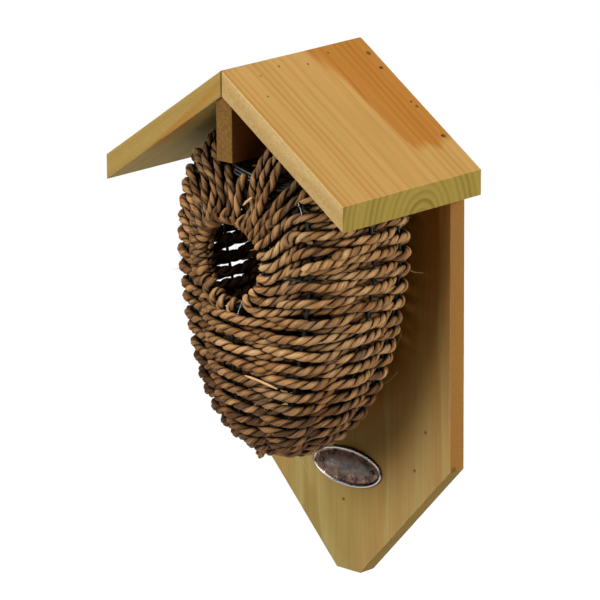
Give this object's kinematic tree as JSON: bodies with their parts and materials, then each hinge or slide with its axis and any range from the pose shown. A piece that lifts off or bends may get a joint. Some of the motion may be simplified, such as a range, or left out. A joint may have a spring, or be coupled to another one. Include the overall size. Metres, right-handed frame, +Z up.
{
  "type": "birdhouse",
  "caption": "Wall-hung nest house: pitched pine roof on a pointed backboard, with a round-mouthed pouch of wound rope on a wire frame hung under the ridge.",
  "frame": {"origin": "middle of the mouth of the hanging hole in the rear face of the backboard", "axes": "+X to the right seen from the front, +Y to the wall, +Z up, so the entrance faces -Y"},
  "size_m": [0.1826, 0.115, 0.317],
  "materials": {
    "pine": "planed, pressure treated, matt",
    "rope": "twisted plant-fibre rope, dull",
    "frame_wire": "dark coated wire",
    "nail": "bright brads, nails and staples",
    "plate": "pressed, bright rim, grey field",
    "pin": "bright round-head pins"
  },
  "bodies": {
    "root": {"backboard": "pine", "beam_nails": "nail", "beam_staples": "nail", "body_rope": "rope", "bottom_ring": "frame_wire", "brow_rope": "rope", "entrance_ring": "frame_wire", "name_plate": "plate", "plate_pins": "pin", "rear_brads_left": "nail", "rear_brads_right": "nail", "rib_back": "frame_wire", "rib_back_left": "frame_wire", "rib_back_right": "frame_wire", "rib_front_high": "frame_wire", "rib_front_left": "frame_wire", "rib_front_low": "frame_wire", "rib_front_right": "frame_wire", "rib_left": "frame_wire", "rib_rear_left": "frame_wire", "rib_rear_right": "frame_wire", "rib_right": "frame_wire", "ridge_beam": "pine", "ridge_brads_left": "nail", "ridge_brads_right": "nail", "roof_board_left": "pine", "roof_board_right": "pine", "side_rope": "rope", "sill_rope": "rope", "top_ring": "frame_wire"}
  },
  "joints": []
}
